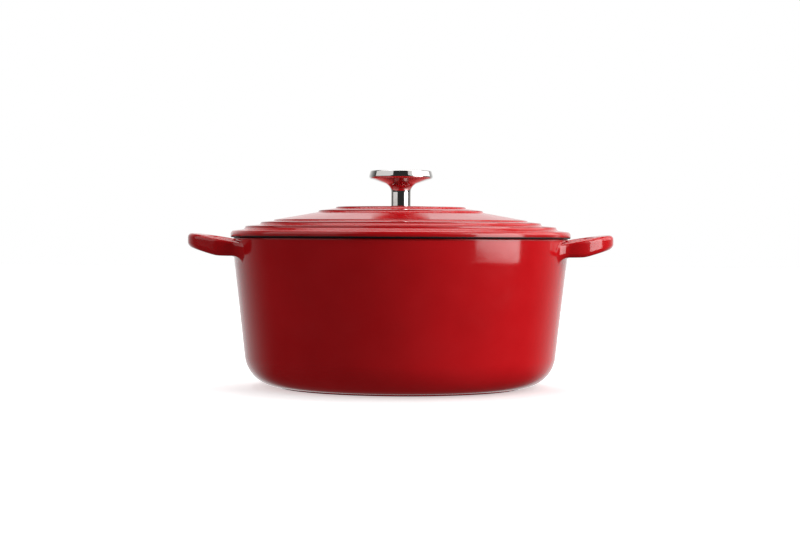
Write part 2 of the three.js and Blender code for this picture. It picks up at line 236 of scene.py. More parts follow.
# Grain: noise scales, per metre, and the parts of a noise's values that count
CLOUD_SCALE = 22
FLECK_SCALE = 1400
RAGGED_SCALE = 260
SPECK_SCALE = 2600
GLOSS_SCALE = 60
PEEL_SCALE = 210
WAVE_SCALE = 45
STEEL_CLOUD_SCALE = 90
SMEAR_SCALE = 260
STEEL_LINE_SCALE = 420
STEEL_LINE_STRETCH = 14
RING_SCALE = 900
SATIN_CLOUD_SCALE = 300
RUBBER_SCALE = 1800
FLOOR_SCALE = 3
RING_DISTORTION = 1.5
COMMON_BAND = (0.3, 0.7)
CLOUD_BAND = (0.35, 0.65)
FLECK_BAND = (0.55, 0.75)
SPECK_BAND = (0.4, 0.7)
SMEAR_BAND = (0.35, 0.75)

# Roughness, from smooth to rough
GLOSS_ROUGHNESS = (0.09, 0.15)
MATTE_ROUGHNESS = (0.42, 0.6)
STEEL_ROUGHNESS = (0.04, 0.09)
SATIN_ROUGHNESS = (0.26, 0.38)
RUBBER_ROUGHNESS = (0.6, 0.8)
FLOOR_ROUGHNESS = 0.7
FLOOR_SPECULAR = 0.1
ENAMEL_IOR = 1.5
LID_SEED = 3.7

# Relief, in metres
PEEL_HEIGHT = 0.000012
WAVE_HEIGHT = 0.00005
MATTE_GRAIN_HEIGHT = 0.00002
STEEL_LINE_HEIGHT = 0.0000002
SATIN_LINE_HEIGHT = 0.000006
RUBBER_GRAIN_HEIGHT = 0.00002

# Camera
CAMERA_LENS = 85
CAMERA_SENSOR = 36
CAMERA_DISTANCE = 1506
CAMERA_HEIGHT = 118.8
CAMERA_SIDE = -0.4
CAMERA_TIP = math.radians(0.88)
CAMERA_ROLL = math.radians(0.31)

# Studio: lengths in metres
FLOOR_SIZE = 12
FLOOR_CELLS = 12
FLOOR_GLOW_NEAR = 0.52
FLOOR_GLOW_FAR = 1
FLOOR_GLOW_REACH = (0.3, 1.5)
BACKDROP_FADE = (0.15, 0.95)
BACKDROP_GLOW = 0.9
FRONT_GLOW = 0.035
BELOW_FADE = (-0.55, -0.2)
BELOW_GLOW = 0.15
CEILING_GLOW = 0.035
ABOVE_FADE = (0.35, 0.75)
FLOOR_BOUNCE = 0.38
BOUNCE_FADE = (-0.1, 0)
AIM_HEIGHT = 0.1
SOFT_BOXES = [  # name, azimuth, elevation, distance, size, power
    ("key_right", 67, 18, 1.4, (0.95, 1.25), 21),
    ("side_right", 112, 24, 1.6, (1.1, 1.1), 6),
    ("panel_right", 68, 30, 1.6, (2.1, 1.7), 9.5),
    ("panel_left", -71, 30, 1.6, (2.1, 1.7), 10),
    ("overhead", 180, 74, 1.6, (1.6, 1.4), 24),
]


# Outlines and turned pieces


def unit(vector):
    return vector / np.linalg.norm(vector)


def rounded_corner(before, corner, after, radius):
    """The arc that rounds a corner: rows of point, direction of travel, and 1 on a fine edge."""
    back, ahead = before - corner, after - corner
    room = min(np.linalg.norm(back), np.linalg.norm(ahead))
    back, ahead = unit(back), unit(ahead)
    half = math.acos(np.clip(back @ ahead, -1, 1)) / 2
    tangent = min(radius / math.tan(half), room)
    centre = corner + unit(back + ahead) * tangent / math.cos(half)
    arm = corner + back * tangent - centre
    turn = math.pi - 2 * half
    side = -math.copysign(1, back[0] * ahead[1] - back[1] * ahead[0])
    edge = 1.0 if side > 0 and radius <= FINE_EDGE else 0.0
    arc_length = turn * np.linalg.norm(arm)
    steps = max(2, math.ceil(turn / ARC_STEP), math.ceil(arc_length / LONGEST_STEP))
    rows = []
    for step in range(steps + 1):
        angle = side * turn * step / steps
        spin = np.array([[math.cos(angle), -math.sin(angle)], [math.sin(angle), math.cos(angle)]])
        rows.append(np.concatenate([centre + spin @ arm, spin @ -back, [edge]]))
    return rows


def outline(corners, looped=False, longest=LONGEST_STEP):
    """Rows along corners (radius, height, round), with every corner rounded."""
    spots = [np.array(corner[:2], float) for corner in corners]
    count = len(corners)
    rows = []
    for index, corner in enumerate(corners):
        if not looped and index in (0, count - 1):
            along = spots[1] - spots[0] if index == 0 else spots[-1] - spots[-2]
            rows.append(np.concatenate([spots[index], unit(along), [0]]))
            continue
        before, after = spots[index - 1], spots[(index + 1) % count]
        radius = corner[2] if len(corner) > 2 else LEAST_ROUND
        rows.extend(rounded_corner(before, spots[index], after, radius))
    if looped:
        rows.append(rows[0].copy())
    return refined(np.array(rows), longest)


def refined(rows, longest):
    """Splits long straight steps, with a short one at each end to hold the rounds' shading."""
    fine = [rows[0]]
    for start, end in zip(rows[:-1], rows[1:]):
        length = np.linalg.norm(end[:2] - start[:2])
        if length < TINY:
            continue
        marks = math.ceil(length / longest) + 1
        long_step = length > 4 * SUPPORT_STEP
        shares = np.linspace(0, 1, marks)[1:]
        if long_step:
            margin = SUPPORT_STEP / length
            shares = np.append(np.linspace(margin, 1 - margin, marks), 1)
        for share in shares:
            row = start * (1 - share) + end * share
            if share == 1:
                row[4] = end[4]
            elif long_step:
                row[4] = 0
            fine.append(row)
    return np.array(fine)


def turned_mesh(name, rows, turn=TURN, exact=True):
    """A mesh turned about Z from an outline that has the solid on its left."""
    angles = np.arange(turn) * 2 * math.pi / turn
    cosines, sines = np.cos(angles), np.sin(angles)
    looped = np.allclose(rows[0, :2], rows[-1, :2])
    rows = rows[:-1] if looped else rows
    vertices, normals, rings, edges = [], [], [], []
    for radius, height, along_r, along_z, edge in rows:
        out, up = unit(np.array([along_z, -along_r]))
        if radius < TINY:
            rings.append([len(vertices)] * turn)
            vertices.append((0, 0, height))
            normals.append((0, 0, math.copysign(1, up)))
            edges.append(0)
            continue
        rings.append(range(len(vertices), len(vertices) + turn))
        vertices.extend(zip(radius * cosines, radius * sines, [height] * turn))
        normals.extend(zip(out * cosines, out * sines, [up] * turn))
        edges.extend([edge] * turn)
    if looped:
        rings.append(rings[0])
    faces = []
    for lower, upper in zip(rings[:-1], rings[1:]):
        for index in range(turn):
            after = (index + 1) % turn
            face = [lower[index], lower[after], upper[after], upper[index]]
            faces.append(tuple(dict.fromkeys(face)))
    mesh = mesh_from(name, vertices, faces, normals if exact else None)
    store(mesh, "edge", edges)
    return mesh


def mesh_from(name, vertices, faces, normals=None):
    mesh = bpy.data.meshes.new(name)
    mesh.from_pydata((np.asarray(vertices) * MM).tolist(), [], faces)
    mesh.polygons.foreach_set("use_smooth", [True] * len(mesh.polygons))
    if normals is not None:
        mesh.normals_split_custom_set_from_vertices(np.asarray(normals).tolist())
    return mesh


def store(mesh, name, values):
    """Keeps one number for each vertex, for the materials to read."""
    layer = mesh.attributes.new(name, "FLOAT", "POINT")
    layer.data.foreach_set("value", np.asarray(values, np.float32))


def vertices_of(mesh):
    flat = np.empty(len(mesh.vertices) * 3)
    mesh.vertices.foreach_get("co", flat)
    return flat.reshape(-1, 3) / MM


def place(mesh, points):
    mesh.vertices.foreach_set("co", (points * MM).ravel())
    mesh.update()


def combined(first, second, operation):
    """Joins, or cuts, two closed meshes."""
    holder = bpy.data.objects.new("holder", first)
    other = bpy.data.objects.new("other", second)
    for item in (holder, other):
        bpy.context.scene.collection.objects.link(item)
    cut = holder.modifiers.new("cut", "BOOLEAN")
    cut.operation = operation
    cut.object = other
    cut.solver = "EXACT"
    graph = bpy.context.evaluated_depsgraph_get()
    result = bpy.data.meshes.new_from_object(holder.evaluated_get(graph))
    for item in (holder, other):
        bpy.data.objects.remove(item)
    return result


def crease(mesh, angle):
    """Smooth shading, with a hard line where two faces meet at more than an angle."""
    mesh.polygons.foreach_set("use_smooth", [True] * len(mesh.polygons))
    mesh.set_sharp_from_angle(angle=angle)


def tube_faces(stations, sides):
    """Faces of a tube with closed ends, whose points come ring by ring."""
    faces = []
    for station in range(stations - 1):
        first, second = station * sides, (station + 1) * sides
        for index in range(sides):
            after = (index + 1) % sides
            faces.append((first + index, first + after, second + after, second + index))
    faces.append(tuple(reversed(range(sides))))
    faces.append(tuple(range((stations - 1) * sides, stations * sides)))
    return faces


def piece(name, mesh, material, body, node):
    shown = bpy.data.objects.new(name, mesh)
    bpy.context.scene.collection.objects.link(shown)
    mesh.materials.clear()
    mesh.materials.append(material)
    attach(shown, body)
    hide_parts(node)


# Pot


def pot_radius(height):
    """Outside radius of the pot's wall at a height or an array of heights."""
    below = RIM_HEIGHT - np.asarray(height, float)
    past = below - RIM_BAND_HEIGHT
    side = (past + np.hypot(past, RIM_BAND_SOFTNESS)) / 2
    band = below - side
    return RIM_RADIUS - band * math.tan(RIM_BAND_DRAFT) - side * math.tan(SIDE_DRAFT)


def pot_outline():
    band = RIM_HEIGHT - RIM_BAND_HEIGHT
    floor = FOOT_HEIGHT + FLOOR_THICKNESS
    under = float(pot_radius(FOOT_HEIGHT))
    heel = under - HEEL_RADIUS * math.tan((math.pi / 2 - SIDE_DRAFT) / 2)
    foot = heel - FOOT_INSET
    return outline([
        (0, FOOT_HEIGHT),
        (foot - FOOT_WIDTH, FOOT_HEIGHT, FOOT_ROUND),
        (foot - FOOT_WIDTH, 0, FOOT_ROUND),
        (foot, 0, FOOT_ROUND),
        (foot, FOOT_HEIGHT, FOOT_ROUND),
        (under, FOOT_HEIGHT, HEEL_RADIUS),
        (float(pot_radius(band)), band, RIM_BAND_BLEND),
        (RIM_RADIUS, RIM_HEIGHT, RIM_ROUND_OUTSIDE),
        (RIM_RADIUS - WALL, RIM_HEIGHT, RIM_ROUND_INSIDE),
        (float(pot_radius(band)) - WALL, band, RIM_BAND_BLEND),
        (float(pot_radius(floor)) - WALL, floor, HEEL_RADIUS - WALL),
        (0, floor),
    ], longest=POT_STEP)


def rounded_box(across, up, edge):
    """Distance to a rounded rectangle, from the distances past its sides."""
    across, up = across + edge, up + edge
    outside = np.hypot(np.maximum(across, 0), np.maximum(up, 0))
    return outside + np.minimum(np.maximum(across, up), 0) - edge


def body_distance(points):
    """Distance out from the pot's wall and rim."""
    radius = np.hypot(points[:, 0], points[:, 1])
    side = (radius - pot_radius(points[:, 2])) * math.cos(SIDE_DRAFT)
    return rounded_box(side, points[:, 2] - RIM_HEIGHT, RIM_ROUND_OUTSIDE)


def handle_heights(out):
    """Underside and top of a handle at a distance out from the axis."""
    share = (out - RIM_RADIUS) / (HANDLE_TIP - RIM_RADIUS)
    crown = HANDLE_CROWN * 4 * share * (1 - share)
    top = RIM_HEIGHT - HANDLE_ROOT_TOP + share * (HANDLE_ROOT_TOP + HANDLE_TIP_TOP) + crown
    past = out - RIM_RADIUS - HANDLE_FLAT
    rise = (past + np.hypot(past, HANDLE_BEND_SOFTNESS)) / 2
    slope = (HANDLE_ROOT_BOTTOM - HANDLE_TIP_BOTTOM) / (HANDLE_TIP - RIM_RADIUS - HANDLE_FLAT)
    return RIM_HEIGHT - HANDLE_ROOT_BOTTOM + rise * slope, top


def handle_sides(points):
    """Distances past both loops' sides and past their top or underside, and which is above."""
    out, across = np.abs(points[:, 0]), np.abs(points[:, 1])
    bend = HANDLE_CORNER - HANDLE_BAR / 2
    past_tip = out - (HANDLE_TIP - HANDLE_BAR / 2 - bend)
    past_arm = across - (HANDLE_SPAN / 2 - HANDLE_BAR / 2 - bend)
    outside = np.hypot(np.maximum(past_tip, 0), np.maximum(past_arm, 0))
    line = outside + np.minimum(np.maximum(past_tip, past_arm), 0) - bend
    bottom, top = handle_heights(out)
    middle = (top + bottom) / 2
    height = np.abs(points[:, 2] - middle) - (top - bottom) / 2
    return np.abs(line) - HANDLE_BAR / 2, height, points[:, 2] > middle


def handle_distance(points):
    """Distance out from the surface of both loops: rounded bars round a U."""
    across, height, _ = handle_sides(points)
    return rounded_box(across, height, HANDLE_EDGE)


def filleted(first, second, radius):
    """Distance to two shapes joined, with a fillet where they meet."""
    near = np.hypot(np.maximum(radius - first, 0), np.maximum(radius - second, 0))
    return np.maximum(radius, np.minimum(first, second)) - near


def casting_distance(points):
    """Distance out from the pot with its handles, whose roots flare into the wall."""
    body = body_distance(points)
    across, height, above = handle_sides(points)
    flared = filleted(across, body, HANDLE_FLARE)
    level = filleted(height, body, np.where(above, FILLET_ABOVE, FILLET_BELOW))
    return np.minimum(body, rounded_box(flared, level, HANDLE_EDGE))


def slopes(distance, points):
    """Gradient of a distance at each point."""
    columns = []
    for axis in range(3):
        step = np.zeros(3)
        step[axis] = SLOPE_STEP
        columns.append((distance(points + step) - distance(points - step)) / (2 * SLOPE_STEP))
    return np.stack(columns, 1)


def settle(distance, points):
    """Moves points onto the surface where a distance is nought."""
    for _ in range(SETTLE_ROUNDS):
        slope = slopes(distance, points)
        steepness = np.maximum((slope ** 2).sum(1), TINY)
        points = points - slope * (distance(points) / steepness)[:, None]
    return points


def handle_path():
    """Stations along a loop from arm to arm: place, and direction out of the loop."""
    bend = HANDLE_CORNER - HANDLE_BAR / 2
    arm_y = HANDLE_SPAN / 2 - HANDLE_BAR / 2
    bend_x, bend_y = HANDLE_TIP - HANDLE_BAR / 2 - bend, arm_y - bend
    arm = np.linspace(HANDLE_START, bend_x, ARM_STATIONS, endpoint=False)
    first_side = [(x, -arm_y, 0, -1) for x in arm]
    for angle in np.linspace(0, math.pi / 2, BEND_STATIONS):
        out_x, out_y = math.sin(angle), -math.cos(angle)
        first_side.append((bend_x + bend * out_x, -bend_y + bend * out_y, out_x, out_y))
    bar = [(bend_x + bend, y, 1, 0) for y in np.linspace(-bend_y, bend_y, BAR_STATIONS)[1:-1]]
    second_side = [(x, -y, out_x, -out_y) for x, y, out_x, out_y in reversed(first_side)]
    return first_side + bar + second_side


def handle_loop(side):
    """A closed mesh of one loop, with both ends inside the pot's wall."""
    path = handle_path()
    points = []
    for x, y, out_x, out_y in path:
        bottom, top = handle_heights(x)
        half = (top - bottom) / 2
        for angle in np.arange(HANDLE_SIDES) * 2 * math.pi / HANDLE_SIDES:
            across = HANDLE_BAR / 2 * math.cos(angle) * HANDLE_SKETCH
            height = bottom + half + half * math.sin(angle) * HANDLE_SKETCH
            points.append((x + out_x * across, y + out_y * across, height))
    points = settle(handle_distance, np.array(points))
    points[:, :2] *= side
    mesh = mesh_from("loop", points, tube_faces(len(path), HANDLE_SIDES))
    turn_outwards(mesh)
    low, high = TRIM_HEIGHTS
    core = outline([(0, low), (TRIM_RADIUS, low), (TRIM_RADIUS, high), (0, high)], longest=TRIM_STEP)
    return combined(mesh, turned_mesh("core", core, exact=False), "DIFFERENCE")


def turn_outwards(mesh):
    work = bmesh.new()
    work.from_mesh(mesh)
    bmesh.ops.recalc_face_normals(work, faces=work.faces)
    work.to_mesh(mesh)
    work.free()


def refine_joint(mesh, reach, longest):
    """Splits faces with edges over a length, where the handles run into the pot."""
    points = vertices_of(mesh)
    near = (np.abs(body_distance(points)) < reach) & (np.abs(handle_distance(points)) < reach)
    near &= body_distance(points) > -OUTSIDE_SKIN
    work = bmesh.new()
    work.from_mesh(mesh)
    work.verts.ensure_lookup_table()
    many = [face for face in work.faces if len(face.verts) > 4]
    bmesh.ops.triangulate(work, faces=many)
    edges = [
        edge for edge in work.edges
        if near[edge.verts[0].index] and near[edge.verts[1].index]
        and edge.calc_length() > longest * MM
    ]
    bmesh.ops.subdivide_edges(work, edges=edges, cuts=1, use_grid_fill=True)
    bmesh.ops.triangulate(work, faces=[face for face in work.faces if len(face.verts) > 4])
    work.to_mesh(mesh)
    work.free()


def nearest_rows(points, rows):
    """Index of the outline's row nearest to each point."""
    flat = np.stack([np.hypot(points[:, 0], points[:, 1]), points[:, 2]], 1)
    nearest = np.empty(len(points), int)
    for start in range(0, len(points), ROW_BATCH):
        part = flat[start:start + ROW_BATCH, None] - rows[None, :, :2]
        nearest[start:start + ROW_BATCH] = (part ** 2).sum(2).argmin(1)
    return nearest


def casting_normals(points, along, outside):
    """Exact normals: from the outline's direction, and from the joined shape on the outside."""
    out = np.maximum(np.hypot(points[:, 0], points[:, 1]), TINY)[:, None]
    normals = np.concatenate([points[:, :2] / out * along[:, 1:], -along[:, :1]], 1)
    slope = slopes(casting_distance, points[outside])
    normals[outside] = slope / np.linalg.norm(slope, axis=1)[:, None]
    return normals


def make_pot(material):
    """The casting: a turned body and two loops in one mesh, settled on their exact surface."""
    rows = pot_outline()
    mesh = turned_mesh("pot_casting", rows, exact=False)
    for side in (1, -1):
        mesh = combined(mesh, handle_loop(side), "UNION")
    for reach, longest in JOINT_STEPS:
        refine_joint(mesh, reach, longest)
        points = vertices_of(mesh)
        outside = (body_distance(points) > -OUTSIDE_SKIN) & (points[:, 2] > HANDLE_ZONE)
        points[outside] = settle(casting_distance, points[outside])
        place(mesh, points)
    mesh.polygons.foreach_set("use_smooth", [True] * len(mesh.polygons))
    nearest = nearest_rows(points, rows)
    normals = casting_normals(points, rows[nearest, 2:4], outside)
    mesh.normals_split_custom_set_from_vertices(normals.tolist())
    inside = pot_radius(points[:, 2]) - RIM_LINE - np.hypot(points[:, 0], points[:, 1])
    rim = rows[:, 1].argmax()
    inside[~outside & (nearest < rim)] = -1
    store(mesh, "black_mm", np.maximum(inside, FOOT_LINE - points[:, 2]))
    if "edge" not in mesh.attributes:
        store(mesh, "edge", np.zeros(len(points)))
    piece("pot_casting", mesh, material, "pot", "pot")


# Lid


def riser(radius, top, width, drop):
    """One step down: a crisp upper corner, a steep face, and a hollow that runs out in the tread."""
    across = drop / math.tan(RISER_STEEPNESS)
    foot = top - drop + (width - across) * OUTER_TREAD_SLOPE
    return [(radius, top, RISER_TOP_ROUND), (radius + across, foot, drop * RISER_HOLLOW)]


def lid_steps():
    """Corners of the stepped top, from the crown outwards."""
    height = CROWN_HEIGHT - CROWN_DROP
    corners = [(CROWN_FLAT_RADIUS, CROWN_HEIGHT, CROWN_BLEND)]
    for radius, width, drop in INNER_RINGS:
        corners += riser(radius, height, width, drop)
        height -= drop + INNER_TREAD_DROP
    outer = []
    inner_end = LID_RADIUS - LID_EDGE_ROUND
    foot = SEAT_HEIGHT + LID_EDGE_HEIGHT
    for inset, width, drop in reversed(OUTER_RINGS):
        start = LID_RADIUS - inset
        low = foot + (inner_end - start - width) * OUTER_TREAD_SLOPE
        outer = riser(start, low + drop, width, drop) + outer
        inner_end, foot = start, low + drop
    return corners + outer


def make_lid(material):
    steps = lid_steps()
    edge_top = SEAT_HEIGHT + LID_EDGE_HEIGHT
    edge_start = edge_top - LID_EDGE_ROUND * OUTER_TREAD_SLOPE
    ring_outside = RIM_RADIUS - WALL - LID_RING_CLEARANCE
    ring_inside = ring_outside - LID_RING_WIDTH
    ring_foot = SEAT_HEIGHT - LID_RING_DEPTH
    under = [corner for corner in steps if corner[0] < ring_inside - LID_WALL]
    last = under[-1]
    meeting = last[1] - LID_WALL - OUTER_TREAD_SLOPE * (ring_inside - last[0])
    corners = [
        (SCREW_PASSAGE, CROWN_HEIGHT, LEAST_ROUND),
        *steps,
        (LID_RADIUS - LID_EDGE_ROUND / 2, edge_start, LID_EDGE_ROUND),
        (LID_RADIUS, edge_top - LID_EDGE_ROUND, LID_EDGE_ROUND),
        (LID_RADIUS, SEAT_HEIGHT, RIM_ROUND_OUTSIDE),
        (ring_outside, SEAT_HEIGHT, LID_SEAT_ROUND),
        (ring_outside, ring_foot, LID_RING_ROUND),
        (ring_inside, ring_foot, LID_RING_ROUND),
        (ring_inside, meeting, LID_RING_ROOT_ROUND),
        *[(radius, height - LID_WALL, round_) for radius, height, round_ in reversed(under)],
        (SCREW_PASSAGE, CROWN_HEIGHT - LID_WALL, LEAST_ROUND),
    ]
    rows = outline(corners[::-1], looped=True)
    mesh = turned_mesh("lid_casting", rows)
    store(mesh, "black_mm", lid_black(rows))
    piece("lid_casting", mesh, material, "lid", "lid")


def lid_black(rows):
    """Distance along the outline past the line where the lid's red enamel ends."""
    rows = rows[:-1]
    steps = np.linalg.norm(np.diff(rows[:, :2], axis=0), axis=1)
    along = np.concatenate([[0], np.cumsum(steps)])
    side = np.abs(rows[:, 0] - LID_RADIUS) + np.abs(rows[:, 1] - SEAT_HEIGHT - LID_LINE)
    line = along[side.argmin()]
    return np.repeat(line - along, TURN)


# Knob and what fastens it


def cone_height(radius):
    """Height of the head's conical underside at a radius."""
    return KNOB_EDGE_TOP - KNOB_RIM_HEIGHT - (KNOB_RADIUS - radius) * math.tan(KNOB_CONE)


def make_knob_body(steel):
    """The stem and the flared head, hollow, with a recess for the cap and one for the gasket."""
    recess = KNOB_RADIUS - CAP_INSET + SEAM
    mouth = recess - CAP_LEDGE
    bore = INSERT_RADIUS + SEAM
    rows = outline([
        (GASKET_RECESS, KNOB_SEAT),
        (STEM_RADIUS, KNOB_SEAT, STEM_FOOT_ROUND),
        (STEM_RADIUS, cone_height(STEM_RADIUS), KNOB_NECK_ROUND),
        (KNOB_RADIUS, cone_height(KNOB_RADIUS), KNOB_EDGE_ROUND_LOW),
        (KNOB_RADIUS - KNOB_EDGE_LEAN, KNOB_EDGE_TOP, KNOB_EDGE_ROUND_TOP),
        (recess, KNOB_EDGE_TOP, KNOB_RECESS_ROUND),
        (recess, CAP_FOOT),
        (mouth, CAP_FOOT),
        (mouth, cone_height(mouth) + KNOB_SHELL_HEIGHT),
        (bore, cone_height(bore) + KNOB_SHELL_HEIGHT),
        (bore, GASKET_TOP + SEAM),
        (GASKET_RECESS, GASKET_TOP + SEAM),
    ], looped=True, longest=KNOB_STEP)
    mesh = turned_mesh("knob_stem_and_head", rows)
    piece("knob_stem_and_head", mesh, steel, "lid", "knob_body")


def make_knob_cap(steel):
    radius = KNOB_RADIUS - CAP_INSET
    rows = outline([
        (0, CAP_FOOT + SMALL_GAP),
        (radius, CAP_FOOT + SMALL_GAP),
        (radius, KNOB_EDGE_TOP, CAP_ROUND),
        (radius / 2, CAP_HIGH, CAP_CROWN_ROUND),
        (0, CAP_HIGH),
    ], longest=KNOB_STEP)
    piece("knob_top_disc", turned_mesh("knob_top_disc", rows), steel, "lid", "knob_cap")


def make_gasket(rubber):
    rows = outline([
        (SCREW_PASSAGE, CROWN_HEIGHT + SMALL_GAP),
        (GASKET_RECESS - SEAM, CROWN_HEIGHT + SMALL_GAP),
        (GASKET_RECESS - SEAM, GASKET_TOP),
        (SCREW_PASSAGE, GASKET_TOP),
    ], looped=True, longest=GASKET_STEP)
    mesh = turned_mesh("stem_gasket", rows, SMALL_TURN)
    piece("stem_gasket", mesh, rubber, "lid", "knob_gasket")


def make_insert(satin):
    """The threaded sleeve inside the stem, hung by its flange in the head."""
    foot = KNOB_SEAT + INSERT_START
    flange = cone_height(INSERT_FLANGE_RADIUS) + KNOB_SHELL_HEIGHT + SEAM
    flange_top = flange + INSERT_FLANGE_THICKNESS
    rows = outline([
        (SCREW_PASSAGE, foot),
        (INSERT_RADIUS, foot, INSERT_FOOT_ROUND),
        (INSERT_RADIUS, flange),
        (INSERT_FLANGE_RADIUS, flange, INSERT_FLANGE_ROUND),
        (INSERT_FLANGE_RADIUS, flange_top, INSERT_FLANGE_ROUND),
        (SCREW_PASSAGE, flange_top),
    ], looped=True, longest=THREAD_STEP)
    mesh = turned_mesh("stem_insert", rows, SMALL_TURN, exact=False)
    cut_thread(mesh, SCREW_PASSAGE, -THREAD_DEPTH / 2)
    piece("stem_insert", mesh, satin, "lid", "knob_insert")


def cut_thread(mesh, radius, depth):
    """Winds a thread into the round wall of a radius. A negative depth raises it inwards."""
    points = vertices_of(mesh)
    out = np.hypot(points[:, 0], points[:, 1])
    wall = np.abs(out - radius) < THREAD_TOLERANCE
    ends = points[wall, 2].min(), points[wall, 2].max()
    turns = points[:, 2] / THREAD_PITCH - np.arctan2(points[:, 1], points[:, 0]) / (2 * math.pi)
    valley = np.abs(2 * (turns % 1) - 1)
    fade = np.clip(np.minimum(points[:, 2] - ends[0], ends[1] - points[:, 2]) / THREAD_PITCH, 0, 1)
    cut = np.where(depth > 0, valley, 1 - valley)
    scale = 1 - abs(depth) * cut * fade / np.maximum(out, TINY)
    points[wall, :2] *= scale[wall, None]
    place(mesh, points)
    crease(mesh, THREAD_CREASE)


def make_washer(satin):
    foot = WASHER_TOP - WASHER_THICKNESS
    rows = outline([
        (SCREW_PASSAGE, foot, WASHER_ROUND),
        (WASHER_RADIUS, foot, WASHER_FOOT_ROUND),
        (WASHER_RADIUS, WASHER_TOP, WASHER_ROUND),
        (SCREW_PASSAGE, WASHER_TOP, WASHER_ROUND),
    ], looped=True, longest=WASHER_STEP)
    mesh = turned_mesh("flat_washer", rows, SMALL_TURN)
    piece("flat_washer", mesh, satin, "lid", "screw_washer")


def spring_washer_section():
    """A nearly square ring of points about the wire's middle, across and up."""
    half_width = (SPRING_WASHER_RADIUS - SCREW_PASSAGE) / 2
    half_height = (SPRING_WASHER_THICKNESS - SPRING_WASHER_LIFT) / 2
    section = []
    for angle in np.arange(SPRING_WASHER_SIDES) * 2 * math.pi / SPRING_WASHER_SIDES:
        across, up = math.cos(angle), math.sin(angle)
        reach = max(abs(across), abs(up)) ** SPRING_WASHER_SQUARENESS
        section.append((half_width * across / reach, half_height * up / reach))
    return section, half_height


def make_spring_washer(satin):
    """A split ring of square wire whose ends stand a little apart in height."""
    section, half_height = spring_washer_section()
    middle = (SCREW_PASSAGE + SPRING_WASHER_RADIUS) / 2
    start = SPRING_WASHER_SPLIT / 2
    points = []
    for station in range(SPRING_WASHER_STATIONS + 1):
        share = station / SPRING_WASHER_STATIONS
        angle = start + share * (2 * math.pi - 2 * start)
        lift = (share - 0.5) * SPRING_WASHER_LIFT
        for across, up in section:
            skewed = angle + SPRING_WASHER_SKEW * up / half_height
            radius = middle + across
            height = SPRING_WASHER_TOP - SPRING_WASHER_THICKNESS / 2 + lift + up
            points.append((radius * math.cos(skewed), radius * math.sin(skewed), height))
    faces = tube_faces(SPRING_WASHER_STATIONS + 1, SPRING_WASHER_SIDES)
    mesh = mesh_from("split_washer", points, faces)
    turn_outwards(mesh)
    crease(mesh, SPRING_WASHER_CREASE)
    piece("split_washer", mesh, satin, "lid", "spring_washer")


def slot_cutter(height):
    """A bar across the screw's head, half of it below the head's face."""
    bar = bmesh.new()
    bmesh.ops.create_cube(bar, size=1)
    size = Vector((4 * SCREW_HEAD_RADIUS, SCREW_SLOT_WIDTH, 2 * SCREW_SLOT_DEPTH)) * MM
    bmesh.ops.scale(bar, vec=size, verts=bar.verts)
    bmesh.ops.translate(bar, vec=(0, 0, height * MM), verts=bar.verts)
    mesh = bpy.data.meshes.new("slot")
    bar.to_mesh(mesh)
    bar.free()
    return mesh


def make_screw(satin):
    """A pan-head screw, head down, threaded up into the insert."""
    foot = SCREW_HEAD_TOP - SCREW_HEAD_HEIGHT
    tip = KNOB_SEAT + SCREW_REACH
    rows = outline([
        (0, foot),
        (SCREW_HEAD_RADIUS, foot, SCREW_HEAD_HEIGHT * SCREW_HEAD_CROWN),
        (SCREW_HEAD_RADIUS, SCREW_HEAD_TOP, SCREW_HEAD_ROUND),
        (SCREW_RADIUS, SCREW_HEAD_TOP, SCREW_HEAD_ROUND),
        (SCREW_RADIUS, tip - SCREW_CHAMFER, SCREW_TIP_ROUND),
        (SCREW_RADIUS - SCREW_CHAMFER, tip, SCREW_TIP_ROUND),
        (0, tip),
    ], longest=THREAD_STEP)
    mesh = turned_mesh("slotted_screw", rows, SMALL_TURN, exact=False)
    cut_thread(mesh, SCREW_RADIUS, THREAD_DEPTH)
    mesh = combined(mesh, slot_cutter(foot), "DIFFERENCE")
    crease(mesh, SCREW_CREASE)
    piece("slotted_screw", mesh, satin, "lid", "knob_screw")


# Materials


def add(tree, kind, values=None, **settings):
    """Adds a node. Its inputs get numbers, colours, or other nodes' outputs."""
    made = tree.nodes.new(kind)
    for key, value in settings.items():
        setattr(made, key, value)
    for key, value in (values or {}).items():
        if isinstance(value, bpy.types.NodeSocket):
            tree.links.new(value, made.inputs[key])
        else:
            made.inputs[key].default_value = value
    return made


def blank_material(name):
    material = bpy.data.materials.new(name)
    material.use_nodes = True
    tree = material.node_tree
    shader = tree.nodes["Principled BSDF"]
    place_from = add(tree, "ShaderNodeTexCoord").outputs["Object"]
    return material, tree, shader, place_from


def noise(tree, place_from, scale, detail=2, roughness=0.5):
    values = {"Vector": place_from, "Scale": scale, "Detail": detail, "Roughness": roughness}
    return add(tree, "ShaderNodeTexNoise", values).outputs["Fac"]


def span(tree, value, low, high, to_low, to_high, smooth=False):
    values = {0: value, 1: low, 2: high, 3: to_low, 4: to_high}
    kind = "SMOOTHSTEP" if smooth else "LINEAR"
    return add(tree, "ShaderNodeMapRange", values, interpolation_type=kind).outputs[0]


def blend_colour(tree, factor, first, second):
    values = {0: factor, 6: first, 7: second}
    return add(tree, "ShaderNodeMix", values, data_type="RGBA").outputs[2]


def blend_value(tree, factor, first, second):
    values = {0: factor, 2: first, 3: second}
    return add(tree, "ShaderNodeMix", values).outputs[0]


def arithmetic(tree, operation, first, second):
    return add(tree, "ShaderNodeMath", {0: first, 1: second}, operation=operation).outputs[0]


def stored(tree, name):
    return add(tree, "ShaderNodeAttribute", attribute_name=name).outputs["Fac"]


